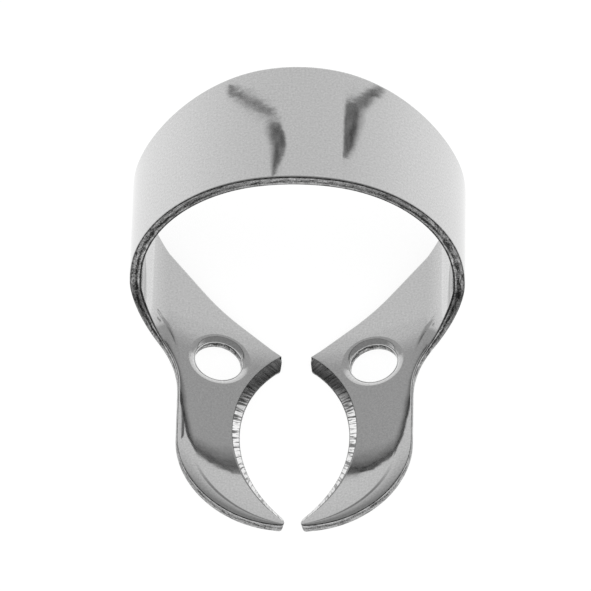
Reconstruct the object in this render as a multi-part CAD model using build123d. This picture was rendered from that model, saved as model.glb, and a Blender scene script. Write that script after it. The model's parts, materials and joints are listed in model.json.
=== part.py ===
# Rubber dam clamp, stamped and bent from one strip of spring steel.
# A bow arches over the back of the tooth and two jaws reach forward from its feet. Each jaw
# is a flat hook with a forceps hole, and its hollow inner edge ends in two prongs that grip.
#
# The clamp is drawn with its four prongs level: X across, Y from the jaws' tips to the bow's
# back, Z up, with the widest line of the bow at Z 0 and the bow's front edge at Y 0. It is then
# tipped back onto its rear prongs and the feet of its bow, as it lies on a table.
# All sizes are in millimetres and degrees. Sizes of the bow and the bends are of the outer face.
from build123d import *
import math
import os

# Strip
strip_thickness = 0.8

# Bow, seen from the front: a flatter crown between two shoulders, and the feet under them
shoulder_radius = 10.6
crown_radius = 14.0
crown_half_angle = 10.2
foot_radius = 3.0
jaw_slope = 12.0

# Bow, seen from the side: straight up, then flared towards the back
bow_side_depth = 8.0
bow_flare = 1.8
bow_flare_start = 3.0

# Jaw, in its own plane: across from its outer edge or the plane of symmetry, and forward of
# the bow's front edge
jaw_inset = 0.96
jaw_front = 17.76
jaw_front_radius = 6.36
jaw_waist = 4.31
neck_corner_front = 4.96
neck_radius = 6.5

# Forceps hole, and the corner of the jaw's rear edge behind it
hole_diameter = 3.2
hole_inset = 2.66
hole_front = 4.39
heel_behind_hole = 4.23
heel_radius = 16.0

# Prongs at the two ends of the jaw's hollow edge, and the bevel between them
front_prong_across = 0.7
front_prong_width = 1.0
rear_prong_across = 1.1
rear_prong_width = 0.72
rear_prong_front = 3.45
prong_round = 0.3
grip_bevel = 45.0
grip_land = 0.15

# Spare length of a cutting prism past what it cuts, and how finely the resting pose is found
overshoot = 2.0
rest_tolerance = 0.01

# The front view: the crown's arc runs on into the shoulders' arcs, and those into the feet's.
slope = math.radians(jaw_slope)
crown_turn = math.radians(crown_half_angle)
spare_radius = crown_radius - shoulder_radius
half_width = shoulder_radius + spare_radius * math.sin(crown_turn)
foot_centre = (foot_radius - half_width, 0)
shoulder_centre = (shoulder_radius - half_width, 0)
crown_centre = (0, -spare_radius * math.cos(crown_turn))
crown_height = crown_centre[1] + crown_radius


def on_circle(centre, radius, degrees):
    """The point of a circle in the front view, at an angle from +X."""
    turn = math.radians(degrees)
    return Vector(centre[0] + radius * math.cos(turn), 0, centre[1] + radius * math.sin(turn))


def bend(centre, radius, start, end):
    """An arc of the front view, between two angles from +X."""
    degrees = (start, (start + end) / 2, end)
    return ThreePointArc(*[on_circle(centre, radius, d) for d in degrees])


# The left jaw's outer face: local X runs outward, local Y forward and local Z up through the jaw.
foot_angle = 270 - jaw_slope
foot_end = on_circle(foot_centre, foot_radius, foot_angle)
jaw_plane = Plane(
    origin=(0, 0, foot_end.Z + foot_end.X * math.tan(slope)),
    x_dir=(-math.cos(slope), 0, math.sin(slope)),
    z_dir=(math.sin(slope), 0, math.cos(slope)),
)
# The jaw's outline takes over from the bow's where the shoulder stands square to the jaw.
neck_angle = 180 - jaw_slope
neck = jaw_plane.to_local_coords(on_circle(shoulder_centre, shoulder_radius, neck_angle))

# The jaw's outline, across and forward in its own plane
jaw_outer = jaw_plane.to_local_coords(foot_end).X - jaw_inset
hole_across = jaw_outer - hole_inset
front_centre = Vector(jaw_outer - jaw_front_radius, jaw_front - jaw_front_radius)
tip_turn = math.acos((front_prong_across - front_centre.X) / jaw_front_radius)
tip = front_centre + Vector(math.cos(tip_turn), math.sin(tip_turn)) * jaw_front_radius
grip_front_end = tip - Vector(0, front_prong_width)
rear_corner = Vector(rear_prong_across, rear_prong_front)
grip_rear_end = rear_corner + Vector(0, rear_prong_width)
grip_middle = Vector(jaw_outer - jaw_waist, (grip_front_end.Y + grip_rear_end.Y) / 2)
grip_edge = ThreePointArc(grip_front_end, grip_middle, grip_rear_end)


def past(start, end):
    """The point a little beyond the end of a line."""
    return end + (end - start).normalized() * overshoot


def jaw_outline():
    """The left jaw and its foot as a flat blank, drawn in the jaw's plane."""
    neck_corner = Vector(jaw_outer, neck_corner_front)
    heel_corner = Vector(hole_across, hole_front - heel_behind_hole)
    neck_front = past(neck_corner, Vector(neck.X, 0))
    neck_rear = past(heel_corner, Vector(neck.X, -bow_side_depth))
    front_edge = CenterArc(front_centre, jaw_front_radius, 0, math.degrees(tip_turn))
    outline = make_face(
        [
            Polyline(neck_front, neck_corner, front_edge @ 0),
            front_edge,
            Line(tip, grip_front_end),
            grip_edge,
            Polyline(grip_rear_end, rear_corner, heel_corner, neck_rear, neck_front),
        ]
    )
    front_round = min(prong_round, front_prong_width / 3)
    rear_round = min(prong_round, rear_prong_width / 2.4)
    rounds = [
        (neck_corner, neck_radius),
        (heel_corner, heel_radius),
        (tip, front_round),
        (grip_front_end, front_round),
        (grip_rear_end, rear_round),
        (rear_corner, rear_round),
    ]
    for corner, radius in rounds:
        outline = fillet(outline.vertices().sort_by_distance(corner)[0], radius)
    return outline


def sheet(edges, prism):
    """The strip's outer face along edges of the front view, trimmed by a prism."""
    start = Pos(0, -jaw_front - overshoot, 0)
    depth = jaw_front + bow_side_depth + bow_flare + 2 * overshoot
    faces = []
    for edge in edges:
        faces += (Face.extrude(start * edge, (0, depth, 0)) & prism).faces()
    return faces


def left_jaw():
    """The outer face of the left jaw and its foot."""
    edges = [
        Line(jaw_plane.origin, foot_end),
        bend(foot_centre, foot_radius, foot_angle, 180),
        bend(shoulder_centre, shoulder_radius, 180, neck_angle),
    ]
    return sheet(edges, extrude(jaw_plane * jaw_outline(), neck.Z + overshoot, both=True))


def left_bow():
    """The outer face of the left half of the bow."""
    rise = crown_height - bow_flare_start
    flare_radius = (rise**2 + bow_flare**2) / (2 * bow_flare)
    flare_turn = math.degrees(math.asin((rise + overshoot) / flare_radius))
    flare_centre = (bow_side_depth + flare_radius, bow_flare_start)
    rear_edge = CenterArc(flare_centre, flare_radius, 180, -flare_turn)
    bottom = -overshoot
    top = crown_height + overshoot
    outline = make_face(
        [
            Polyline(rear_edge @ 1, (0, top), (0, bottom), (bow_side_depth, bottom), rear_edge @ 0),
            rear_edge,
        ]
    )
    edges = [
        bend(shoulder_centre, shoulder_radius, neck_angle, 90 + crown_half_angle),
        bend(crown_centre, crown_radius, 90 + crown_half_angle, 90),
    ]
    return sheet(edges, extrude(Plane.YZ * outline, half_width + overshoot, both=True))


def left_half():
    """The left half of the clamp, as drawn, with its bevel and its forceps hole."""
    half = Solid.thicken(Shell(left_jaw() + left_bow()), strip_thickness)
    bevel_height = strip_thickness - grip_land + overshoot
    bevel = Cone(
        grip_edge.radius,
        grip_edge.radius + bevel_height * math.tan(math.radians(grip_bevel)),
        bevel_height,
        align=(Align.CENTER, Align.CENTER, Align.MIN),
    )
    half -= jaw_plane * Pos(grip_edge.arc_center) * Pos(0, 0, grip_land) * bevel
    hole = Cylinder(hole_diameter / 2, 2 * (strip_thickness + overshoot))
    return half - jaw_plane * Pos(hole_across, hole_front, 0) * hole


def resting_tilt(solid):
    """The angle about X that lays a solid on the side of its lower outline under its weight."""
    points = sorted({(p.Y, p.Z) for p in solid.tessellate(rest_tolerance)[0]})
    lower = []
    for y, z in points:
        while len(lower) > 1:
            (y0, z0), (y1, z1) = lower[-2:]
            if (y1 - y0) * (z - z0) > (z1 - z0) * (y - y0):
                break
            lower.pop()
        lower.append((y, z))
    weight = solid.center(CenterOf.MASS)
    for (y0, z0), (y1, z1) in zip(lower, lower[1:]):
        along, rise = y1 - y0, z1 - z0
        share = ((weight.Y - y0) * along + (weight.Z - z0) * rise) / (along**2 + rise**2)
        if 0 <= share <= 1:
            return -math.degrees(math.atan2(rise, along))
    return 0


half = left_half()
drawn = (half + mirror(half, Plane.YZ)).solid()
tipped = Rot(X=resting_tilt(drawn))
box = (tipped * drawn).bounding_box()
rest = Pos(-box.center().X, -box.center().Y, -box.min.Z) * tipped
clamp = rest * drawn

os.makedirs("parts", exist_ok=True)
export_step(clamp, "parts/clamp.step")
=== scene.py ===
"""Looks of the rubber dam clamp, a dental clamp stamped and bent from polished spring steel.

The strip is meshed from its flat blank: s is the length along the strip's outer face from the
middle of the crown, positive to the right, and y runs from the bow's front edge, positive to the
back. The blank is then bent to the clamp's front view and laid in its resting pose. Sizes are in
millimetres.
"""
import json
import math

import bpy
import numpy as np
from mathutils import Matrix, Vector
from mathutils.geometry import delaunay_2d_cdt


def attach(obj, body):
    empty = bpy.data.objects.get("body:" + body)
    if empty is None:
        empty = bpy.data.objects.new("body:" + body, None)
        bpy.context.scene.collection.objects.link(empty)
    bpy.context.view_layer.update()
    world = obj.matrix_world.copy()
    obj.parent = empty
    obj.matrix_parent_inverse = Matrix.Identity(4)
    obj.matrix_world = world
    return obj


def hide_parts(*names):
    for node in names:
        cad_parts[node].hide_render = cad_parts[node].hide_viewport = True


MM = 0.001
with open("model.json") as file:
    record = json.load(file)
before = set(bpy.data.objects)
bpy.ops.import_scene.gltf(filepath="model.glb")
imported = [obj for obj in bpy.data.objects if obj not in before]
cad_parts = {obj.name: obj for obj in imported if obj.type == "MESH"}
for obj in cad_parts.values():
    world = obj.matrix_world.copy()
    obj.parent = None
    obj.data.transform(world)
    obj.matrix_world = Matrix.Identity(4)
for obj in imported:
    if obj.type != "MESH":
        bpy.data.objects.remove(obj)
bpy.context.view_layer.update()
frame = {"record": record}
mounts = {mount["name"]: mount for mount in frame["record"]["mounts"]}

# Strip and bow, as in the solid: radii of the outer face
STRIP = 0.8
SHOULDER_RADIUS = 10.6
CROWN_RADIUS = 14.0
CROWN_TURN = math.radians(10.2)
FOOT_RADIUS = 3.0
JAW_SLOPE = math.radians(12.0)
BOW_SIDE_DEPTH = 8.0
BOW_FLARE = 1.8
BOW_FLARE_START = 3.0

# Jaw, in its own plane: across from the middle, and forward of the bow's front edge
JAW_INSET = 0.96
JAW_FRONT = 17.76
JAW_FRONT_RADIUS = 6.36
JAW_WAIST = 4.31
NECK_CORNER_FRONT = 4.96
NECK_RADIUS = 6.5
HOLE_RADIUS = mounts["right_forceps_hole"]["dims"]["r_mm"]
HOLE_INSET = 2.66
HOLE_FRONT = 4.39
HEEL_BEHIND_HOLE = 4.23
HEEL_RADIUS = 16.0
FRONT_PRONG_ACROSS = 0.7
FRONT_PRONG_WIDTH = 1.0
REAR_PRONG_ACROSS = 1.1
REAR_PRONG_WIDTH = 0.72
REAR_PRONG_FRONT = 3.45
PRONG_ROUND = 0.3
REAR_ROUND_LIMIT = REAR_PRONG_WIDTH / 2.4
GRIP_BEVEL = math.radians(45.0)
GRIP_LAND = 0.15

# Finish of the edges: the outer face is drawn down by the shearing, and the arrises are tumbled round
ARRIS = 0.1
OUTER_ROUND = 0.15

# Roll of the jaws' upper face down to its cut edge: its rings as shares of its width, its slope at the
# edge and how fast that grows, where it sets in ahead of the bow, and how far the edge faces out or
# forward for the whole of it
ROLL_WIDTH = 1.3
ROLL_PARTS = (0, 0.08, 0.16, 0.28, 0.36, 0.5, 0.65, 0.8, 0.9, 1)
ROLL_SLOPE = math.radians(12.0)
ROLL_POWER = 1.1
ROLL_START, ROLL_FADE = 1.0, 3.0
ROLL_TURN = 0.6

# Crease in the polish of that roll, in the normals alone: its middle, reach and sides as shares of the
# roll's width, and how far the edge faces forward where it sets in
CREASE_LEAN = math.radians(12.0)
CREASE_MIDDLE, CREASE_REACH, CREASE_SIDE = 0.22, 0.14, 0.08
CREASE_FACING, CREASE_FADE = 0.2, 0.5

# Dressing of the jaws' upper face ahead of the holes, in the normals alone: they lean in and back a
# little, and out again towards the outer edge
DRESS_IN = math.tan(math.radians(2.3))
DRESS_BACK = math.tan(math.radians(1.9))
DRESS_OUT = math.tan(math.radians(6.0))
DRESS_WIDTH = 2.8
DRESS_START, DRESS_FADE = 7.0, 2.5

# Lip of a forceps hole, which dips towards the hole like a dished washer
LIP_WIDTH = 0.55
LIP_SLOPE = math.radians(34.0)

# Share of the room inside a narrow part that its edges' rounding takes, how fast that grows, into how
# many parts it is divided for an arris and for the drawn-down edge, and what counts as inward
ROOM_SHARE = 0.6
ROOM_GROWTH = 0.35
ARRIS_DIVISOR = 3
DRAW_DIVISOR = 2
LEAST_INWARD = 1e-6

# Cut wall: the depths between which its rings lie, and how far the bevel has cut back where the edge
# above is wholly the bevel's, and where the wall is wholly ground
WALL_TOP = STRIP - 3 * ARRIS
WALL_FOOT = OUTER_ROUND + 0.02
BEVEL_BLEND = 0.3 * (STRIP - GRIP_LAND)
GROUND_BLEND = 0.03

# Grinding marks across the bevel: depth, how far they run on to the rear as they go down, and the
# pitches whose beat makes them uneven
MARK_DEPTH = 0.005
MARK_SKEW = 0.85
MARK_PITCHES = (0.17, 0.27, 0.41)

# Mesh spacing: of the outline, its widest step, of the ground bevel's outline, and inside the faces,
# with how clear of the edges the points inside stay, how near two points count as one, and the kind of
# triangulation that keeps to the inside of its edges
EDGE_STEP = 0.12
WIDEST_STEP = 1.5 * EDGE_STEP
GRIP_STEP = 0.03
FACE_STEP = 0.2
FACE_CLEARANCE = 0.6 * FACE_STEP
SAME_POINT = 1e-7
INSIDE_ONLY = 1

# Counts of the mesh: least points of a line and an arc, points round a hole, rings of each band, and
# the rings inside the drawn-down edge as shares of the room there
LINE_POINTS, ARC_POINTS, HOLE_POINTS = 2, 6, 96
ARRIS_RINGS, DRAW_RINGS, WALL_RINGS = 6, 6, 9
LIP_RINGS, LIP_ARRIS_RINGS = 10, 5
OUTER_FACE_PARTS = (0.4, 1)

# Where the front view's arcs end, as lengths along the strip
SPARE_RADIUS = CROWN_RADIUS - SHOULDER_RADIUS
HALF_WIDTH = SHOULDER_RADIUS + SPARE_RADIUS * math.sin(CROWN_TURN)
CROWN_CENTRE = -SPARE_RADIUS * math.cos(CROWN_TURN)
CROWN_HEIGHT = CROWN_CENTRE + CROWN_RADIUS
PLATE_TURN = math.pi - JAW_SLOPE
CROWN_END = CROWN_RADIUS * CROWN_TURN
SHOULDER_END = CROWN_END + SHOULDER_RADIUS * (math.pi / 2 - CROWN_TURN)
FOOT_END = SHOULDER_END + FOOT_RADIUS * (PLATE_TURN - math.pi / 2)


def turn_at(s):
    """How far the strip's outer face has turned from the crown, at lengths along the strip."""
    return np.select(
        [s < CROWN_END, s < SHOULDER_END, s < FOOT_END],
        [
            s / CROWN_RADIUS,
            CROWN_TURN + (s - CROWN_END) / SHOULDER_RADIUS,
            math.pi / 2 + (s - SHOULDER_END) / FOOT_RADIUS,
        ],
        PLATE_TURN,
    )


def front_view(s):
    """Position and outward normal of the outer face in the front view, at signed lengths."""
    side = np.where(s < 0, -1.0, 1.0)
    length = np.abs(s)
    turn = turn_at(length)
    sin, cos = np.sin(turn), np.cos(turn)
    bends = [length < CROWN_END, length < SHOULDER_END]
    radius = np.select(bends, [CROWN_RADIUS, SHOULDER_RADIUS], FOOT_RADIUS)
    centre_x = np.select(bends, [0.0, HALF_WIDTH - SHOULDER_RADIUS], HALF_WIDTH - FOOT_RADIUS)
    centre_z = np.where(length < CROWN_END, CROWN_CENTRE, 0.0)
    plate = np.maximum(length - FOOT_END, 0)
    x = centre_x + radius * sin + plate * cos
    z = centre_z + radius * cos - plate * sin
    return np.stack([side * x, z], 1), np.stack([side * sin, cos], 1)


# The right jaw's plane: across runs outward from the middle, and the plate starts at the foot.
foot_point = front_view(np.array([FOOT_END]))[0]
FOOT_ACROSS = foot_point[0, 0] / math.cos(JAW_SLOPE)
JAW_OUTER = FOOT_ACROSS - JAW_INSET
HOLE_ACROSS = JAW_OUTER - HOLE_INSET
SHOULDER_ACROSS = FOOT_ACROSS + (FOOT_RADIUS - SHOULDER_RADIUS) * math.cos(JAW_SLOPE)
NECK_ACROSS = SHOULDER_ACROSS + SHOULDER_RADIUS


def length_at(across):
    """Length along the strip of points given across the jaw's plane, out to the neck."""
    on_foot = np.clip((across - FOOT_ACROSS) / FOOT_RADIUS, 0, 1)
    on_shoulder = np.clip((across - SHOULDER_ACROSS) / SHOULDER_RADIUS, 0, 1)
    foot_turn = math.pi - JAW_SLOPE - np.arcsin(on_foot)
    shoulder_turn = math.pi - JAW_SLOPE - np.arcsin(on_shoulder)
    return np.select(
        [across <= FOOT_ACROSS, foot_turn > math.pi / 2],
        [
            FOOT_END + FOOT_ACROSS - across,
            SHOULDER_END + FOOT_RADIUS * (foot_turn - math.pi / 2),
        ],
        CROWN_END + SHOULDER_RADIUS * (shoulder_turn - CROWN_TURN),
    )


hole_length = length_at(np.array([HOLE_ACROSS]))[0]
HOLE_CENTRES = [np.array([side * hole_length, -HOLE_FRONT]) for side in (-1, 1)]


def line(start, end, step=EDGE_STEP):
    """Points of a straight line, without its last one."""
    start, end = np.array(start), np.array(end)
    count = max(LINE_POINTS, round(np.linalg.norm(end - start) / step))
    return start + (end - start) * np.linspace(0, 1, count, endpoint=False)[:, None]


def arc(centre, start, end, step=EDGE_STEP):
    """Points of a circle's arc the shorter way round, without its last one."""
    centre, start, end = np.array(centre), np.array(start), np.array(end)
    radius = np.linalg.norm(start - centre)
    first, last = (math.atan2(*(point - centre)[::-1]) for point in (start, end))
    sweep = (last - first + math.pi) % (2 * math.pi) - math.pi
    count = max(ARC_POINTS, round(abs(sweep) * radius / step))
    turns = first + sweep * np.linspace(0, 1, count, endpoint=False)
    return centre + radius * np.stack([np.cos(turns), np.sin(turns)], 1)


def rounded(before, corner, after, radius):
    """Centre and the two tangent points of a round at the corner of two lines."""
    before, corner, after = (np.array(point, float) for point in (before, corner, after))
    back = (before - corner) / np.linalg.norm(before - corner)
    on = (after - corner) / np.linalg.norm(after - corner)
    half_angle = math.acos(np.clip(back @ on, -1, 1)) / 2
    reach = radius / math.tan(half_angle)
    middle = (back + on) / np.linalg.norm(back + on)
    return corner + middle * radius / math.sin(half_angle), corner + back * reach, corner + on * reach


def circle_through(a, b, c):
    """Centre and radius of the circle through three points."""
    rows = 2 * np.array([b - a, c - a])
    centre = np.linalg.solve(rows, [b @ b - a @ a, c @ c - a @ a])
    return centre, np.linalg.norm(a - centre)


# The jaw's outline: its front round, the tip, and the hollow edge between the two prongs
front_centre = np.array([JAW_OUTER - JAW_FRONT_RADIUS, JAW_FRONT - JAW_FRONT_RADIUS])
tip_front = front_centre[1] + math.sqrt(
    JAW_FRONT_RADIUS**2 - (FRONT_PRONG_ACROSS - front_centre[0]) ** 2
)
grip_front_end = np.array([FRONT_PRONG_ACROSS, tip_front - FRONT_PRONG_WIDTH])
grip_rear_end = np.array([REAR_PRONG_ACROSS, REAR_PRONG_FRONT + REAR_PRONG_WIDTH])
grip_middle = np.array([JAW_OUTER - JAW_WAIST, (grip_front_end[1] + grip_rear_end[1]) / 2])
GRIP_CENTRE, GRIP_RADIUS = circle_through(grip_front_end, grip_middle, grip_rear_end)


def beside(centre, reach, across, ahead):
    """The point at a reach from a centre, given how far across it lies, ahead of it or behind."""
    rise = math.sqrt(reach**2 - (across - centre[0]) ** 2)
    return np.array([across, centre[1] + ahead * rise])


def jaw_edge():
    """The right jaw's outline from the neck's front round to its rear, across and forward."""
    neck_front = (NECK_ACROSS, 0)
    neck_rear = (NECK_ACROSS, -BOW_SIDE_DEPTH)
    neck_corner = (JAW_OUTER, NECK_CORNER_FRONT)
    front_start = (JAW_OUTER, front_centre[1])
    heel = (HOLE_ACROSS, HOLE_FRONT - HEEL_BEHIND_HOLE)
    rear_corner = (REAR_PRONG_ACROSS, REAR_PRONG_FRONT)
    rear_round = min(PRONG_ROUND, REAR_ROUND_LIMIT)

    neck = rounded(neck_front, neck_corner, front_start, NECK_RADIUS)
    tip = beside(front_centre, JAW_FRONT_RADIUS - PRONG_ROUND, FRONT_PRONG_ACROSS + PRONG_ROUND, 1)
    hook = beside(GRIP_CENTRE, GRIP_RADIUS + PRONG_ROUND, FRONT_PRONG_ACROSS + PRONG_ROUND, 1)
    spur = beside(GRIP_CENTRE, GRIP_RADIUS + rear_round, REAR_PRONG_ACROSS + rear_round, -1)
    tip_on_arc = front_centre + (tip - front_centre) * JAW_FRONT_RADIUS / (JAW_FRONT_RADIUS - PRONG_ROUND)
    hook_on_arc = GRIP_CENTRE + (hook - GRIP_CENTRE) * GRIP_RADIUS / (GRIP_RADIUS + PRONG_ROUND)
    spur_on_arc = GRIP_CENTRE + (spur - GRIP_CENTRE) * GRIP_RADIUS / (GRIP_RADIUS + rear_round)
    tip_on_end = (FRONT_PRONG_ACROSS, tip[1])
    hook_on_end = (FRONT_PRONG_ACROSS, hook[1])
    spur_on_end = (REAR_PRONG_ACROSS, spur[1])
    rear = rounded(spur_on_end, rear_corner, heel, rear_round)
    back = rounded(rear_corner, heel, neck_rear, HEEL_RADIUS)
    fine = GRIP_STEP
    return np.concatenate(
        [
            line(neck_front, neck[1]),
            arc(*neck),
            line(neck[2], front_start),
            arc(front_centre, front_start, tip_on_arc),
            arc(tip, tip_on_arc, tip_on_end, fine),
            line(tip_on_end, hook_on_end, fine),
            arc(hook, hook_on_end, hook_on_arc, fine),
            arc(GRIP_CENTRE, hook_on_arc, spur_on_arc, fine),
            arc(spur, spur_on_arc, spur_on_end, fine),
            line(spur_on_end, rear[1], fine),
            arc(*rear, fine),
            line(rear[2], back[1]),
            arc(*back),
            line(back[2], neck_rear),
        ]
    )


def spread(edge):
    """Adds points to an edge of the blank where bending has drawn them apart."""
    parts = []
    for start, end in zip(edge, edge[1:]):
        gap = np.linalg.norm(end - start)
        parts.append(line(start, end) if gap > WIDEST_STEP else start[None])
    return np.concatenate([*parts, edge[-1:]])


def blank_outline():
    """The whole blank's outline, along the strip and back, starting at the crown's front."""
    jaw = jaw_edge()
    jaw = np.stack([length_at(jaw[:, 0]), -jaw[:, 1]], 1)
    neck_length = length_at(np.array([NECK_ACROSS]))[0]
    lengths = np.arange(EDGE_STEP, neck_length, EDGE_STEP)
    height = front_view(lengths)[0][:, 1]
    rise = CROWN_HEIGHT - BOW_FLARE_START
    flare_radius = (rise**2 + BOW_FLARE**2) / (2 * BOW_FLARE)
    lift = np.clip(height - BOW_FLARE_START, 0, rise)
    depth = BOW_SIDE_DEPTH + flare_radius - np.sqrt(flare_radius**2 - lift**2)
    front = np.stack([lengths, np.zeros_like(lengths)], 1)
    rear = np.stack([lengths, depth], 1)[::-1]
    right = spread(np.concatenate([front, jaw, rear]))
    left = right[::-1] * (-1, 1)
    middle_rear = [[0, BOW_SIDE_DEPTH + BOW_FLARE]]
    return np.concatenate([[[0, 0]], right, middle_rear, left])


def outward(outline):
    """Unit vectors square to a closed outline that runs with the blank on its left or right."""
    along = np.roll(outline, -1, 0) - np.roll(outline, 1, 0)
    along /= np.linalg.norm(along, axis=1)[:, None]
    area = np.sum(outline[:, 0] * np.roll(outline[:, 1], -1) - np.roll(outline[:, 0], -1) * outline[:, 1])
    return np.stack([along[:, 1], -along[:, 0]], 1) * math.copysign(1, area)


def eased(outline, rounds=4):
    """A closed outline with its sharp corners rubbed down by a few hundredths."""
    for _ in range(rounds):
        outline = (np.roll(outline, 1, 0) + 2 * outline + np.roll(outline, -1, 0)) / 4
    return outline


def edge_room(outline, out):
    """How far in from each point of an outline its rounding may reach, changing slowly along it."""
    apart = outline[None] - outline[:, None]
    inward = -np.einsum("ijk,ik->ij", apart, out)
    square = np.sum(apart**2, 2)
    with np.errstate(divide="ignore", invalid="ignore"):
        circle = np.where(inward > LEAST_INWARD, square / (2 * inward), np.inf)
    holes = [np.linalg.norm(outline - centre, axis=1) for centre in HOLE_CENTRES]
    beside_hole = np.min(holes, 0) - HOLE_RADIUS - LIP_WIDTH
    room = ROOM_SHARE * np.minimum(circle.min(1), beside_hole)
    return np.min(room[None] + ROOM_GROWTH * np.sqrt(square), 1)


def from_grip(points):
    """Distance from a jaw's hollow edge and the direction away from its centre, on the blank."""
    side = np.where(points[:, 0] < 0, -1.0, 1.0)
    centre_s = length_at(np.array([GRIP_CENTRE[0]]))[0]
    away = points - np.stack([side * centre_s, np.full(len(points), -GRIP_CENTRE[1])], 1)
    distance = np.linalg.norm(away, axis=1)
    return distance - GRIP_RADIUS, away / distance[:, None]


def bent(points, depth):
    """Points of the blank bent to shape, at depths into the strip from its outer face."""
    place, normal = front_view(points[:, 0])
    place = place - normal * np.reshape(depth, (-1, 1))
    return np.stack([place[:, 0], points[:, 1], place[:, 1]], 1)


def directions(points):
    """The outer face's outward normal, and the way along the strip, where points are bent to."""
    normal = front_view(points[:, 0])[1]
    zero = np.zeros(len(points))
    out = np.stack([normal[:, 0], zero, normal[:, 1]], 1)
    along = np.stack([normal[:, 1], zero, -normal[:, 0]], 1)
    return out, along


def smooth(share):
    """A share held between zero and one, with soft ends."""
    share = np.clip(share, 0, 1)
    return share * share * (3 - 2 * share)


def dressing(points, along):
    """How the polish turns the normals of the jaws' upper face."""
    side = np.where(points[:, :1] < 0, -1.0, 1.0)
    ahead = smooth((-points[:, 1:] - DRESS_START) / DRESS_FADE)
    across = FOOT_ACROSS + FOOT_END - np.abs(points[:, :1])
    before = np.maximum(-points[:, 1:] - front_centre[1], 0)
    aside = np.where(before > 0, across - front_centre[0], JAW_FRONT_RADIUS)
    reach = np.hypot(aside, before)
    from_edge = np.where(before > 0, JAW_FRONT_RADIUS - reach, JAW_OUTER - across)
    roll = DRESS_OUT * np.clip(1 - from_edge / DRESS_WIDTH, 0, 1) ** 2 / reach
    back = np.array([0, 1, 0])
    return ahead * ((DRESS_IN - roll * aside) * side * along + (DRESS_BACK - roll * before) * back)


def rolling(points, out):
    """Share of the roll along the outline: only on the jaws' outer and front edges."""
    outer = -np.where(points[:, 0] < 0, -1.0, 1.0) * out[:, 0]
    ahead = smooth((-points[:, 1] - ROLL_START) / ROLL_FADE)
    return smooth((outer - out[:, 1]) / ROLL_TURN) * ahead


# Materials of the mesh's faces, in the order that the finishes are added
# the last material paints a dark reflection along the arrises
FACE, CUT, GROUND, ARRIS_DARK_REFLECTION = range(4)


class Strip:
    """The strip's mesh as it is gathered: points, normals, flat coordinates, depths, runs and faces."""

    def __init__(self):
        self.places, self.normals, self.flats, self.depths, self.runs = [], [], [], [], []
        self.faces, self.materials = [], []
        self.count = 0

    def add(self, points, depth, lean, heading, run=0.0):
        """Adds points whose normals lean from the upper face's towards a heading on the blank."""
        out, along = directions(points)
        level = heading[:, :1] * along
        level[:, 1] += heading[:, 1]
        lean = np.broadcast_to(lean, len(points))[:, None]
        normal = -out * np.cos(lean) + level * np.sin(lean)
        normal += np.clip(np.cos(lean), 0, 1) * dressing(points, along)
        depth = np.broadcast_to(depth, len(points))
        self.places.append(bent(points, depth))
        self.normals.append(normal / np.linalg.norm(normal, axis=1)[:, None])
        self.flats.append(points)
        self.depths.append(depth)
        self.runs.append(np.broadcast_to(run, len(points)))
        first = self.count
        self.count += len(points)
        return np.arange(first, self.count)

    def band(self, ring, following, material):
        """Joins two closed rings of as many points by a band of faces."""
        turned = np.stack([ring, np.roll(ring, -1), np.roll(following, -1), following], 1)
        self.faces.extend(turned.tolist())
        self.materials.extend(np.broadcast_to(material, len(ring)).tolist())

    def fill(self, rings, hole_radius, lean, depth, flip):
        """Fills a face between its outer ring and the rings of its holes."""
        flats = np.concatenate(self.flats)
        loops = [flats[ring] for ring in rings]
        inner = face_grid(loops)
        heading = np.zeros((len(inner), 2))
        heading[:, 0] = 1
        ids = np.concatenate([*rings, self.add(inner, depth, lean, heading)])
        points = np.concatenate([*loops, inner])
        edges = []
        start = 0
        for loop in loops:
            count = len(loop)
            edges += [(start + k, start + (k + 1) % count) for k in range(count)]
            start += count
        _, _, triangles, sources, _, _ = delaunay_2d_cdt(
            [Vector(p) for p in points], edges, [], INSIDE_ONLY, SAME_POINT
        )
        for triangle in triangles:
            corners = [sources[k][0] for k in triangle]
            if in_hole(points[corners].mean(0), hole_radius):
                continue
            face = ids[corners].tolist()
            self.faces.append(face[::-1] if flip else face)
            self.materials.append(FACE)


def in_hole(point, radius):
    """Whether a point of the blank lies within a radius of a forceps hole's axis."""
    return min(np.linalg.norm(point - centre) for centre in HOLE_CENTRES) < radius


def inside(points, loop):
    """Which points lie inside a closed loop."""
    x, y = points[:, :1], points[:, 1:]
    x0, y0 = loop[:, 0], loop[:, 1]
    x1, y1 = np.roll(x0, -1), np.roll(y0, -1)
    spans = (y0 > y) != (y1 > y)
    with np.errstate(divide="ignore", invalid="ignore"):
        crossing = x0 + (y - y0) * (x1 - x0) / (y1 - y0)
    return np.sum(spans & (x < crossing), 1) % 2 == 1


def face_grid(loops):
    """Even points inside a face's outer loop, clear of all its loops."""
    low, high = loops[0].min(0), loops[0].max(0)
    across = np.arange(low[0], high[0], FACE_STEP)
    deep = np.arange(low[1], high[1], FACE_STEP)
    points = np.stack(np.meshgrid(across, deep), 2).reshape(-1, 2)
    points = points[inside(points, loops[0])]
    for hole in loops[1:]:
        points = points[~inside(points, hole)]
    edge = np.concatenate(loops)
    clear = [np.min(np.linalg.norm(edge - p, axis=1)) > FACE_CLEARANCE for p in points]
    return points[clear]


def length_along(outline):
    """Length along an outline, at each of its points."""
    steps = np.linalg.norm(np.diff(outline, axis=0), axis=1)
    return np.concatenate([[0], np.cumsum(steps)])


def grinding(run):
    """Height of the grinding marks at lengths along the outline, and their slope along it."""
    share = MARK_DEPTH / len(MARK_PITCHES)
    height = sum(share * np.sin(2 * math.pi * run / pitch) for pitch in MARK_PITCHES)
    slope = sum(
        share * 2 * math.pi / pitch * np.cos(2 * math.pi * run / pitch) for pitch in MARK_PITCHES
    )
    return height, slope


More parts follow.
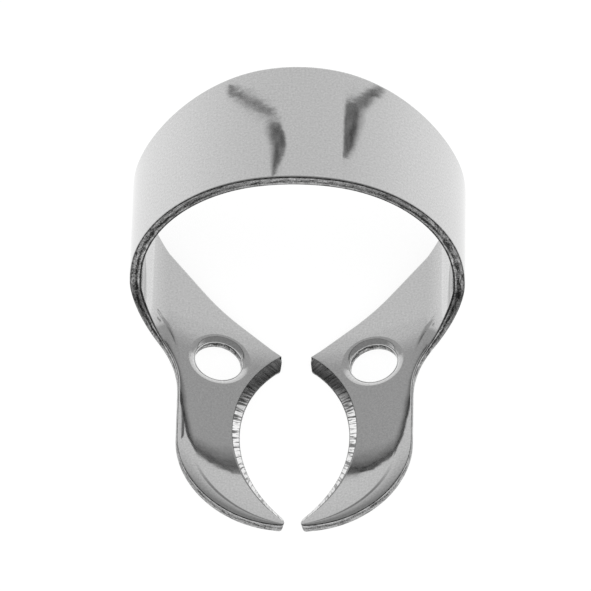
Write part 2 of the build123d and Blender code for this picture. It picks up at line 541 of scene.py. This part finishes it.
def upper_edge(strip, top, on_bevel, run):
    """Rings of the upper face's edge: the roll, then the arris that turns to the wall or bevel."""
    out = outward(top)
    wall_lean = math.pi / 2 - on_bevel * GRIP_BEVEL
    room = np.minimum(edge_room(top, out), ROLL_WIDTH + ARRIS)
    arris = np.minimum(ARRIS, room / ARRIS_DIVISOR)
    width = room - arris
    rolled = rolling(top, out) * (1 - on_bevel)
    slope = math.tan(ROLL_SLOPE) * rolled
    creased = rolled * smooth((-out[:, 1] - CREASE_FACING) / CREASE_FADE)
    rings = []
    for part in ROLL_PARTS:
        in_crease = np.clip((CREASE_REACH - abs(part - CREASE_MIDDLE)) / CREASE_SIDE, 0, 1)
        lean = np.arctan(slope * part**ROLL_POWER) + CREASE_LEAN * in_crease * creased
        drop = slope * width * part ** (ROLL_POWER + 1) / (ROLL_POWER + 1)
        points = top - out * (arris + width * (1 - part))[:, None]
        rings.append(strip.add(points, STRIP - drop, lean, out))
    edge_lean = np.arctan(slope)
    for part in np.linspace(0, 1, ARRIS_RINGS)[1:]:
        lean = edge_lean + (wall_lean - edge_lean) * part
        inset = arris * (np.tan(wall_lean / 2) - np.sin(lean))
        depth = STRIP - drop - arris * (1 - np.cos(lean))
        rings.append(strip.add(top - out * inset[:, None], depth, lean, out, run))
    return rings


def outer_edge(strip, outline, out, run):
    """Rings of the outer face's edge, drawn down by the shearing, from the wall to the face."""
    room = np.minimum(edge_room(outline, out), ROLL_WIDTH)
    draw = np.minimum(OUTER_ROUND, room / DRAW_DIVISOR)
    rings = []
    for part in np.linspace(0, 1, DRAW_RINGS):
        lean = math.pi / 2 * (1 + part)
        inset = draw * (1 - math.sin(lean))
        depth = draw * (1 + math.cos(lean))
        rings.append(strip.add(outline - out * inset[:, None], depth, lean, out, run))
    for part in OUTER_FACE_PARTS:
        inset = draw + (room - draw) * part
        rings.append(strip.add(outline - out * inset[:, None], 0, math.pi, out))
    return rings


def forceps_hole(strip, centre):
    """Rings of a forceps hole: the dished lip, an arris, a straight wall and an arris below."""
    turns = np.linspace(2 * math.pi, 0, HOLE_POINTS, endpoint=False)
    inward = -np.stack([np.cos(turns), np.sin(turns)], 1)
    lip_radius = (LIP_WIDTH - ARRIS) / math.sin(LIP_SLOPE)
    rings = []

    def add(radius, depth, lean):
        rings.append(strip.add(centre - inward * radius, depth, lean, inward, turns * HOLE_RADIUS))

    for part in np.linspace(0, 1, LIP_RINGS):
        lean = LIP_SLOPE * part
        depth = STRIP - lip_radius * (1 - math.cos(lean))
        add(HOLE_RADIUS + LIP_WIDTH - lip_radius * math.sin(lean), depth, lean)
    for part in np.linspace(0, 1, LIP_ARRIS_RINGS)[1:]:
        lean = LIP_SLOPE + (math.pi / 2 - LIP_SLOPE) * part
        turned = (math.sin(lean) - math.sin(LIP_SLOPE)) / (1 - math.sin(LIP_SLOPE))
        add(HOLE_RADIUS + ARRIS * (1 - turned), depth - ARRIS * part, lean)
    wall = len(rings) - 1
    for part in np.linspace(0, 1, ARRIS_RINGS):
        lean = math.pi / 2 * (1 + part)
        add(HOLE_RADIUS + ARRIS * (1 - math.sin(lean)), ARRIS * (1 + math.cos(lean)), lean)
    for part, (ring, following) in enumerate(zip(rings, rings[1:])):
        strip.band(ring, following, CUT if part == wall else FACE)
    return rings


def build_strip():
    """The whole strip: its two faces, the cut edge between them, and the forceps holes."""
    strip = Strip()
    outline = blank_outline()
    out = outward(outline)
    along = np.stack([-out[:, 1], out[:, 0]], 1)
    gap, away = from_grip(outline)
    run = length_along(outline)
    skew = MARK_SKEW * np.sign(outline[:, 0])

    def cut_back(depth):
        """How far the bevel cuts back each point of the outline at a depth."""
        reach = (depth - GRIP_LAND) * math.tan(GRIP_BEVEL)
        return np.clip(reach - gap, 0, None) * (outline[:, 1] < 0)

    on_bevel = smooth(cut_back(STRIP) / BEVEL_BLEND)
    top = eased(outline + away * cut_back(STRIP)[:, None])
    upper = upper_edge(strip, top, on_bevel, run)

    wall = []
    grounds = []
    for depth in np.linspace(WALL_TOP, WALL_FOOT, WALL_RINGS):
        back = cut_back(depth)
        ground = np.clip(back / GROUND_BLEND, 0, 1)
        mark, mark_slope = grinding(run + skew * depth)
        lean = math.pi / 2 - ground * np.arctan(math.tan(GRIP_BEVEL) - skew * mark_slope)
        heading = out * (1 - ground[:, None]) - away * ground[:, None]
        heading = heading - along * (ground * mark_slope / np.sin(lean))[:, None]
        points = outline + away * (back - ground * mark)[:, None]
        wall.append(strip.add(points, depth, lean, heading, run))
        grounds.append(ground > 0.5)
    lower = outer_edge(strip, outline, out, run)

    # the arris bands take the painted dark reflection
    for part, (ring, following) in enumerate(zip(upper, upper[1:])):
        strip.band(ring, following, ARRIS_DARK_REFLECTION if part > len(ROLL_PARTS) else FACE)
    strip.band(upper[-1], wall[0], np.where(grounds[0], GROUND, CUT))
    bevel_materials = [GROUND] * (len(wall) - 2) + [ARRIS_DARK_REFLECTION]
    for bevel, ground, ring, following in zip(bevel_materials, grounds, wall, wall[1:]):
        strip.band(ring, following, np.where(ground, bevel, CUT))
    strip.band(wall[-1], lower[0], CUT)
    draw_materials = [CUT, ARRIS_DARK_REFLECTION, ARRIS_DARK_REFLECTION]
    for part, (ring, following) in enumerate(zip(lower, lower[1:])):
        strip.band(ring, following, draw_materials[part] if part < len(draw_materials) else FACE)

    holes = [forceps_hole(strip, centre) for centre in HOLE_CENTRES]
    strip.fill([upper[0], *[hole[0] for hole in holes]], HOLE_RADIUS + LIP_WIDTH, 0, STRIP, True)
    strip.fill([lower[-1], *[hole[-1] for hole in holes]], HOLE_RADIUS + ARRIS, math.pi, 0, False)
    return strip


def resting_pose():
    """The matrix that lays the drawn clamp in the frame, in metres, from a forceps hole's mount."""
    mount = mounts["right_forceps_hole"]
    axis = mount["axis"]
    drawn = bent(np.array([HOLE_CENTRES[1]]), np.array([STRIP / 2]))[0]
    turn = Matrix.Rotation(-math.atan2(axis[1], axis[2]), 4, "X")
    shift = Vector(mount["pos_m"]) - turn @ Vector(drawn * MM)
    # The clamp is symmetrical, so it lies as it is drawn across.
    shift.x = 0
    return Matrix.Translation(shift) @ turn


def make_piece(strip, pose):
    """The strip's mesh as a piece of the scene."""
    turn = np.array(pose.to_3x3())
    places = np.concatenate(strip.places) * MM @ turn.T + np.array(pose.translation)
    normals = np.concatenate(strip.normals) @ turn.T
    mesh = bpy.data.meshes.new("clamp_strip")
    mesh.from_pydata(places.tolist(), [], strip.faces)
    mesh.polygons.foreach_set("material_index", strip.materials)
    mesh.polygons.foreach_set("use_smooth", [True] * len(strip.faces))
    flats = mesh.uv_layers.new(name="strip")
    corners = np.zeros(len(mesh.loops), int)
    mesh.loops.foreach_get("vertex_index", corners)
    flats.data.foreach_set("uv", np.concatenate(strip.flats)[corners].astype(np.float32).ravel())
    for name, values in (("strip_depth", strip.depths), ("edge_run", strip.runs)):
        attribute = mesh.attributes.new(name, "FLOAT", "POINT")
        attribute.data.foreach_set("value", np.concatenate(values).astype(np.float32))
    mesh.normals_split_custom_set_from_vertices(normals.tolist())
    mesh.update()
    piece = bpy.data.objects.new("clamp_strip", mesh)
    bpy.context.scene.collection.objects.link(piece)
    return piece


def node(tree, kind, inputs=None, **settings):
    """Adds a shader node, sets or links its inputs, and returns its first output."""
    made = tree.nodes.new("ShaderNode" + kind)
    for name, value in settings.items():
        setattr(made, name, value)
    for name, value in (inputs or {}).items():
        if isinstance(value, bpy.types.NodeSocket):
            tree.links.new(value, made.inputs[name])
        else:
            made.inputs[name].default_value = value
    return made.outputs[0]


def noise(tree, vector, scale=1.0, detail=2.0, roughness=0.5):
    """Soft noise about one half."""
    inputs = {"Vector": vector, "Scale": scale, "Detail": detail, "Roughness": roughness}
    return node(tree, "TexNoise", inputs)


def ranged(tree, value, limits, ends):
    """A value between two limits, spread between two ends."""
    inputs = {"Value": value, "From Min": limits[0], "From Max": limits[1]}
    return node(tree, "MapRange", {**inputs, "To Min": ends[0], "To Max": ends[1]})


def grown(tree, value, limits):
    """A share that grows from none to the whole as a value goes from one limit to the other."""
    return ranged(tree, value, limits, (0.0, 1.0))


def product(tree, first, second):
    """Two values multiplied."""
    return node(tree, "Math", {0: first, 1: second}, operation="MULTIPLY")


def larger(tree, first, second):
    """The larger of two values."""
    return node(tree, "Math", {0: first, 1: second}, operation="MAXIMUM")


def stretched(tree, vector, scale):
    """Coordinates drawn out by a scale on each axis."""
    return node(tree, "Mapping", {"Vector": vector, "Scale": scale})


def raised(tree, value, share, more):
    """A value with a share of another added to it."""
    return node(tree, "Math", {0: more, 1: share, 2: value}, operation="MULTIPLY_ADD")


def field(tree, name):
    """One of the mesh's own fields, in millimetres."""
    return node(tree, "Attribute", attribute_name=name).node.outputs["Fac"]


def flat_place(tree):
    """Place on the flat blank: both coordinates, the length from the crown, and how far back."""
    flat = node(tree, "UVMap", uv_map="strip")
    parts = node(tree, "SeparateXYZ", {"Vector": flat}).node.outputs
    return flat, node(tree, "Math", {0: parts["X"]}, operation="ABSOLUTE"), parts["Y"]


def edge_place(tree):
    """Place on the cut edge: along the outline, and through the strip."""
    return node(tree, "CombineXYZ", {"X": field(tree, "edge_run"), "Y": field(tree, "strip_depth")})


def relief(tree, height, depth, under=None):
    """A normal that follows a height map of a depth in millimetres, over another relief."""
    inputs = {"Height": height, "Distance": depth * MM}
    if under is not None:
        inputs["Normal"] = under
    return node(tree, "Bump", inputs)


def steel(name):
    """A metal's new material, its node tree and its shader."""
    material = bpy.data.materials.new(name)
    material.use_nodes = True
    tree = material.node_tree
    metal = tree.nodes["Principled BSDF"]
    metal.inputs["Metallic"].default_value = 1
    return material, tree, metal


# Limits between which noise is spread: most of its range, and a narrower one with more contrast
NOISE_LIMITS = (0.3, 0.7)
NOISE_CONTRAST = (0.35, 0.65)

# Polished steel: tones and roughness, how much painted shade darkens it on the bow's underside and more
# along the bow's front edge there, for the jaws to mirror, and the depths, lengths and places back over
# which that sets in
POLISH_TONES = (0.56, 0.74)
POLISH_ROUGHNESS = (0.04, 0.08)
UNDERSIDE_SHADE_SHARE, FRONT_EDGE_SHADE_SHARE = -0.23, -0.28
UNDERSIDE_SHADE_DEPTHS = (0.4, 0.6)
UNDERSIDE_SHADE_LENGTHS = (15.5, 11.0)
UNDERSIDE_SHADE_BACKS = (8.8, 7.2)
FRONT_EDGE_SHADE_BACKS = (1.6, 0.1)


def polished_steel():
    """Tumbled and polished stainless spring steel, with painted shade darkening the bow's underside and
    more so along its front edge.
    """
    material, tree, metal = steel("polished_steel")
    flat, length, back = flat_place(tree)
    grain = noise(tree, flat, scale=7.0, detail=3.0, roughness=0.7)
    cloud = noise(tree, flat, scale=0.5)
    lines = noise(tree, stretched(tree, flat, scale=(0.6, 9.0, 1.0)), detail=3.0, roughness=0.6)
    waves = noise(tree, flat, scale=0.7)
    inner_face = grown(tree, field(tree, "strip_depth"), UNDERSIDE_SHADE_DEPTHS)
    in_bow = product(tree, inner_face, grown(tree, length, UNDERSIDE_SHADE_LENGTHS))
    painted_shade = product(tree, in_bow, grown(tree, back, UNDERSIDE_SHADE_BACKS))
    painted_front_shade = product(tree, painted_shade, grown(tree, back, FRONT_EDGE_SHADE_BACKS))
    tone = ranged(tree, grain, NOISE_LIMITS, POLISH_TONES)
    # painted shade on the bow's underside, darker still along its front edge, which the jaws mirror
    tone = raised(tree, tone, UNDERSIDE_SHADE_SHARE, painted_shade)
    tone = raised(tree, tone, FRONT_EDGE_SHADE_SHARE, painted_front_shade)
    surface = relief(tree, lines, depth=0.0001, under=relief(tree, waves, depth=0.004))
    tree.links.new(tone, metal.inputs["Base Color"])
    tree.links.new(ranged(tree, cloud, NOISE_LIMITS, POLISH_ROUGHNESS), metal.inputs["Roughness"])
    tree.links.new(surface, metal.inputs["Normal"])
    return material


# Cut edge: the tone's limits and ends, its roughness, how much each part of the edge adds to the tone,
# and the depths, lengths and places back over which that part sets in
CUT_LIMITS, CUT_TONES = (0.83, 1.28), (0.03, 0.75)
CUT_ROUGHNESS = (0.42, 0.2)
SPECK_SHARE, OUTER_SHARE, INNER_SHARE = 0.7, 0.14, 0.24
TUMBLED_SHARE, BRINK_REFLECTION_SHARE = 0.12, -0.5
OUTER_DEPTHS, INNER_DEPTHS, BRINK_REFLECTION_DEPTHS = (0.4, 0.25), (0.48, 0.6), (0.64, 0.7)
TUMBLED_LENGTHS = (11.0, 4.0)
TUMBLED_BACKS = (-3.0, -8.0)


def sheared_steel():
    """The strip's cut edge, torn by the shearing, and tumbled brighter at the crown and the jaws."""
    material, tree, metal = steel("sheared_steel")
    place = edge_place(tree)
    patches = noise(tree, stretched(tree, place, scale=(1.2, 5.0, 1.0)), detail=4.0, roughness=0.65)
    specks = noise(tree, place, scale=9.0, roughness=0.6)
    _, length, back = flat_place(tree)
    depth = field(tree, "strip_depth")
    crown = grown(tree, length, TUMBLED_LENGTHS)
    jaw = grown(tree, back, TUMBLED_BACKS)
    tone = raised(tree, patches, SPECK_SHARE, specks)
    tone = raised(tree, tone, OUTER_SHARE, grown(tree, depth, OUTER_DEPTHS))
    tone = raised(tree, tone, INNER_SHARE, grown(tree, depth, INNER_DEPTHS))
    tone = raised(tree, tone, TUMBLED_SHARE, larger(tree, crown, jaw))
    # painted dark reflection along the cut edge's upper brink, beside the arris
    tone = raised(tree, tone, BRINK_REFLECTION_SHARE, grown(tree, depth, BRINK_REFLECTION_DEPTHS))
    surface = relief(tree, specks, depth=0.012, under=relief(tree, patches, depth=0.03))
    tree.links.new(ranged(tree, tone, CUT_LIMITS, CUT_TONES), metal.inputs["Base Color"])
    tree.links.new(ranged(tree, patches, NOISE_CONTRAST, CUT_ROUGHNESS), metal.inputs["Roughness"])
    tree.links.new(surface, metal.inputs["Normal"])
    return material


# Ground bevel: the marks' limits and tones at its front, painted bright and dark as glints and
# reflections along them, and at its rear, painted dark as a reflection, the places back between the two,
# and its roughness
BEVEL_FRONT_LIMITS, BEVEL_FRONT_GLINT_TONES = (0.4, 0.52), (0.1, 0.95)
BEVEL_REAR_REFLECTION_TONES = (0.12, 0.34)
BEVEL_REAR_REFLECTION_BACKS = (-9.0, -5.5)
BEVEL_ROUGHNESS = 0.2


def ground_steel():
    """The bevel ground along the jaws' hollow edges, with marks across it in painted glints and dark
    reflections, darker to the rear as a painted dark reflection.
    """
    material, tree, metal = steel("ground_steel")
    flat, _, back = flat_place(tree)
    side = node(tree, "Math", {0: node(tree, "SeparateXYZ", {"Vector": flat})}, operation="SIGN")
    depth = field(tree, "strip_depth")
    along = raised(tree, field(tree, "edge_run"), MARK_SKEW, product(tree, side, depth))
    place = node(tree, "CombineXYZ", {"X": along, "Y": depth})
    marks = noise(tree, stretched(tree, place, scale=(7.0, 0.8, 1.0)), roughness=0.6)
    # painted glints and dark reflections along the marks, whose grooves are a real relief
    front_glint_tone = ranged(tree, marks, BEVEL_FRONT_LIMITS, BEVEL_FRONT_GLINT_TONES)
    rear_reflection_tone = ranged(tree, marks, NOISE_CONTRAST, BEVEL_REAR_REFLECTION_TONES)
    # painted dark reflection, darker to the rear
    rear = grown(tree, back, BEVEL_REAR_REFLECTION_BACKS)
    tone = node(tree, "Mix", {"Factor": rear, "A": front_glint_tone, "B": rear_reflection_tone})
    tree.links.new(tone, metal.inputs["Base Color"])
    metal.inputs["Roughness"].default_value = BEVEL_ROUGHNESS
    tree.links.new(relief(tree, marks, depth=0.02), metal.inputs["Normal"])
    return material


# Arrises of the cut edge, coloured with a painted dark reflection: the specks' limits and tones, and the
# roughness
ARRIS_REFLECTION_LIMITS, ARRIS_REFLECTION_TONES = (0.4, 0.65), (0.04, 0.22)
ARRIS_REFLECTION_ROUGHNESS = 0.35


def painted_arris_reflection():
    """The arrises of the cut edge, with a painted dark reflection as their colour."""
    material, tree, metal = steel("painted_arris_reflection")
    specks = noise(tree, edge_place(tree), scale=5.0, roughness=0.6)
    tree.links.new(ranged(tree, specks, ARRIS_REFLECTION_LIMITS, ARRIS_REFLECTION_TONES), metal.inputs["Base Color"])
    metal.inputs["Roughness"].default_value = ARRIS_REFLECTION_ROUGHNESS
    return material


pose = resting_pose()
clamp = make_piece(build_strip(), pose)
for finish in (polished_steel(), sheared_steel(), ground_steel(), painted_arris_reflection()):
    clamp.data.materials.append(finish)
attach(clamp, "root")
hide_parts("clamp")

# Camera, fitted to the photograph in the drawn clamp's frame
CAMERA_ELEVATION = math.radians(49.84)
CAMERA_YAW = math.radians(-1.05)
CAMERA_DISTANCE = 600.0
CAMERA_SENSOR = 36.0
CAMERA_ZOOM = 15.204
CAMERA_LENS = CAMERA_ZOOM * CAMERA_SENSOR
CAMERA_CLIP_METRES = (0.01, 20.0)
TARGET_RIGHT = -0.121
TARGET_UP = -0.925
IMAGE_SIZE = 591


def camera_axes():
    """Right, up and towards the camera, in the drawn clamp's frame."""
    sin_e, cos_e = math.sin(CAMERA_ELEVATION), math.cos(CAMERA_ELEVATION)
    sin_y, cos_y = math.sin(CAMERA_YAW), math.cos(CAMERA_YAW)
    right = Vector((cos_y, -sin_y, 0))
    up = Vector((sin_y * sin_e, cos_y * sin_e, cos_e))
    towards = Vector((-sin_y * cos_e, -cos_y * cos_e, sin_e))
    return right, up, towards


def make_camera(pose, eye, axes):
    """The camera at the photograph's viewing angle."""
    camera = bpy.data.objects.new("camera", bpy.data.cameras.new("camera"))
    camera.data.sensor_width = CAMERA_SENSOR
    camera.data.lens = CAMERA_LENS
    camera.data.clip_start, camera.data.clip_end = CAMERA_CLIP_METRES
    turned = Matrix(axes).transposed().to_4x4()
    camera.matrix_world = pose @ Matrix.Translation(eye * MM) @ turned
    bpy.context.scene.collection.objects.link(camera)
    bpy.context.scene.camera = camera


# Floor: its size and the height of the clamp's middle, in metres, its glow to the camera, and its paint
FLOOR_SIZE = 2.0
CLAMP_MIDDLE = 0.008
FLOOR_GLOW = 0.87
FLOOR_SHADE = 0.2

# Surround, which darkens from its far side to the camera's: turns from the camera's way, and levels
FAR_TURN, FAR_LEVEL = math.radians(140), 1.1
SIDE_TURN, SIDE_LEVEL = math.radians(78), 0.71
NEAR_TURN, NEAR_LEVEL = math.radians(57), 0.28

# Dark flags above the bow, which show in its crown: their reach from it, their shade where their
# speckle is darkest and palest, its grain, how far their two sides and their top fray, as shares of
# their width and length, and how many rows lie between the pixels of their outlines
FLAG_REACH = 40.0
FLAG_SHADES = (0.05, 0.28)
FLAG_GRAIN = (3.0, 9.0, 1.0)
FLAG_FRAY = 0.3
FLAG_FIRST_SIDE = 0.12
FLAG_SECOND_SIDE = 0.4
FLAG_TOP = 0.06
FLAG_ROWS = 5

# Outlines of the flags' reflections, as pairs of pixels along the two sides of each
FLAG_OUTLINES = {
    "flag_right": [
        ((382.0, 81.5), (390.0, 89.5)),
        ((370.0, 90.0), (381.5, 97.5)),
        ((356.0, 97.5), (376.0, 103.0)),
        ((343.8, 102.4), (369.0, 110.0)),
        ((343.2, 121.0), (366.0, 121.5)),
        ((342.8, 135.0), (362.0, 136.0)),
        ((342.4, 148.0), (357.0, 150.0)),
        ((342.2, 158.0), (347.0, 159.0)),
    ],
    "flag_left_high": [
        ((228.5, 84.5), (223.0, 94.0)),
        ((246.0, 92.5), (239.5, 104.0)),
        ((256.5, 97.5), (249.0, 111.0)),
        ((266.5, 104.0), (260.0, 115.5)),
        ((278.0, 112.0), (275.5, 116.5)),
    ],
    "flag_left_low": [
        ((280.0, 120.0), (264.0, 122.0)),
        ((285.5, 132.0), (263.0, 132.0)),
        ((287.0, 140.0), (266.0, 140.0)),
        ((287.5, 146.0), (268.0, 146.0)),
        ((284.5, 154.0), (269.0, 154.0)),
        ((279.5, 164.0), (269.5, 164.0)),
        ((274.0, 178.0), (270.5, 178.0)),
    ],
}


def stage_piece(name, corners, faces, material):
    """A piece of the studio."""
    mesh = bpy.data.meshes.new(name)
    mesh.from_pydata(corners, [], faces)
    mesh.materials.append(material)
    piece = bpy.data.objects.new(name, mesh)
    bpy.context.scene.collection.objects.link(piece)
    return piece


def stage_material(name):
    """An empty material, its node tree and its output."""
    material = bpy.data.materials.new(name)
    material.use_nodes = True
    material.node_tree.nodes.clear()
    return material, material.node_tree, material.node_tree.nodes.new("ShaderNodeOutputMaterial")


def surround_level(tree, way, camera_way):
    """How bright the surround is for reflections that go a way."""
    dot = node(tree, "VectorMath", {0: way, 1: camera_way}, operation="DOT_PRODUCT")
    facing = dot.node.outputs["Value"]
    far, side, near = (math.cos(turn) for turn in (FAR_TURN, SIDE_TURN, NEAR_TURN))
    level = ranged(tree, facing, (far, side), (FAR_LEVEL, SIDE_LEVEL))
    nearness = grown(tree, facing, (side, near))
    return raised(tree, level, NEAR_LEVEL - SIDE_LEVEL, nearness)


def make_floor(camera_way):
    """A pale floor, white where it is seen apart from the shadow, and mirrored like the surround."""
    material, tree, output = stage_material("pale_floor")
    place = node(tree, "TexCoord").node.outputs["Object"]
    way = node(tree, "VectorMath", {0: place, 1: (0, 0, CLAMP_MIDDLE)}, operation="SUBTRACT")
    way = node(tree, "VectorMath", {0: way}, operation="NORMALIZE")
    level = surround_level(tree, way, camera_way)
    level = node(tree, "Math", {0: level, 1: FLOOR_SHADE}, operation="SUBTRACT")
    path = node(tree, "LightPath").node.outputs
    mirrored = larger(tree, path["Is Glossy Ray"], path["Is Transmission Ray"])
    strength = raised(tree, product(tree, mirrored, level), FLOOR_GLOW, path["Is Camera Ray"])
    glow = node(tree, "Emission", {"Strength": strength})
    paint = node(tree, "BsdfDiffuse", {"Color": (FLOOR_SHADE, FLOOR_SHADE, FLOOR_SHADE, 1)})
    tree.links.new(node(tree, "AddShader", {0: glow, 1: paint}), output.inputs["Surface"])
    half = FLOOR_SIZE / 2
    corners = [(-half, -half, 0), (half, -half, 0), (half, half, 0), (-half, half, 0)]
    stage_piece("floor", corners, [(0, 1, 2, 3)], material)


def make_world(camera_way):
    """A white surround, darker for reflections towards the camera's side of the studio."""
    world = bpy.data.worlds.new("studio")
    bpy.context.scene.world = world
    world.use_nodes = True
    tree = world.node_tree
    way = node(tree, "TexCoord").node.outputs["Generated"]
    level = surround_level(tree, way, camera_way)
    glossy = node(tree, "LightPath").node.outputs["Is Glossy Ray"]
    strength = node(tree, "Mix", {"Factor": glossy, "A": 1.0, "B": level})
    background = tree.nodes["Background"]
    background.inputs["Color"].default_value = (1, 1, 1, 1)
    tree.links.new(strength, background.inputs["Strength"])


def crown_reflection(pixel, eye, axes):
    """Where a pixel's ray goes after the bow's crown, a reach on, in the drawn clamp's frame."""
    right, up, towards = axes
    scale = CAMERA_LENS / CAMERA_SENSOR * IMAGE_SIZE / CAMERA_DISTANCE
    x, y = ((value - IMAGE_SIZE / 2) / scale for value in pixel)
    ray = (right * x - up * y - towards * CAMERA_DISTANCE).normalized()
    shoulder = HALF_WIDTH - SHOULDER_RADIUS
    circles = [
        (0, CROWN_CENTRE, CROWN_RADIUS),
        (shoulder, 0, SHOULDER_RADIUS),
        (-shoulder, 0, SHOULDER_RADIUS),
    ]
    for centre_x, centre_z, radius in circles:
        start = Vector((eye.x - centre_x, 0, eye.z - centre_z))
        flat_ray = Vector((ray.x, 0, ray.z))
        a, b, c = flat_ray.dot(flat_ray), start.dot(flat_ray), start.dot(start) - radius**2
        travel = (-b - math.sqrt(b * b - a * c)) / a
        normal = (start + flat_ray * travel) / radius
        turn = math.atan2(normal.x, normal.z)
        if abs(turn) < CROWN_TURN or turn * centre_x > 0:
            break
    return eye + ray * travel + ray.reflect(normal) * FLAG_REACH


def flag_rows(pairs):
    """Pairs of pixels down a flag, with more of them between the given ones."""
    given = np.arange(len(pairs))
    rows = np.linspace(0, len(pairs) - 1, (len(pairs) - 1) * FLAG_ROWS + 1)
    columns = [np.interp(rows, given, values) for values in np.reshape(pairs, (-1, 4)).T]
    return np.stack(columns, 1).reshape(-1, 2, 2)


def flag_cover(tree, place, speckle):
    """How much of a flag covers the surround: its first side is crisp, and its second side frays."""
    parts = node(tree, "SeparateXYZ", {"Vector": place}).node.outputs
    frayed = raised(tree, parts["X"], FLAG_FRAY, speckle)
    frayed_end = 1 + FLAG_FRAY / 2
    first = grown(tree, parts["X"], (0.0, FLAG_FIRST_SIDE))
    second = grown(tree, frayed, (frayed_end, frayed_end - FLAG_SECOND_SIDE))
    top = grown(tree, parts["Y"], (0.0, FLAG_TOP))
    return product(tree, product(tree, first, second), top)


def make_flags(pose, eye, axes):
    """Dark flags that only reflections see."""
    material, tree, output = stage_material("dark_flag")
    place = node(tree, "UVMap", uv_map="flag")
    speckle = noise(tree, stretched(tree, place, FLAG_GRAIN), detail=3.0, roughness=0.6)
    cover = flag_cover(tree, place, speckle)
    glow = node(tree, "Emission", {"Strength": ranged(tree, speckle, NOISE_CONTRAST, FLAG_SHADES)})
    clear = node(tree, "BsdfTransparent")
    tree.links.new(node(tree, "MixShader", {0: cover, 1: clear, 2: glow}), output.inputs["Surface"])
    for name, pairs in FLAG_OUTLINES.items():
        rows = flag_rows(pairs)
        corners = [pose @ (crown_reflection(pixel, eye, axes) * MM) for row in rows for pixel in row]
        faces = [(k, k + 1, k + 3, k + 2) for k in range(0, len(corners) - 2, 2)]
        flag = stage_piece(name, corners, faces, material)
        spread_out = flag.data.uv_layers.new(name="flag")
        for face_corner, loop in zip(spread_out.data, flag.data.loops):
            row, side = divmod(loop.vertex_index, 2)
            face_corner.uv = (side, row / (len(rows) - 1))
        flag.visible_camera = False
        flag.visible_diffuse = False
        flag.visible_shadow = False
        flag.visible_transmission = False


axes = camera_axes()
right, up, towards = axes
eye = right * TARGET_RIGHT + up * TARGET_UP + towards * CAMERA_DISTANCE
make_camera(pose, eye, axes)
camera_way = pose.to_3x3() @ towards
make_floor(camera_way)
make_world(camera_way)
make_flags(pose, eye, axes)
bpy.context.scene.view_settings.view_transform = "Standard"
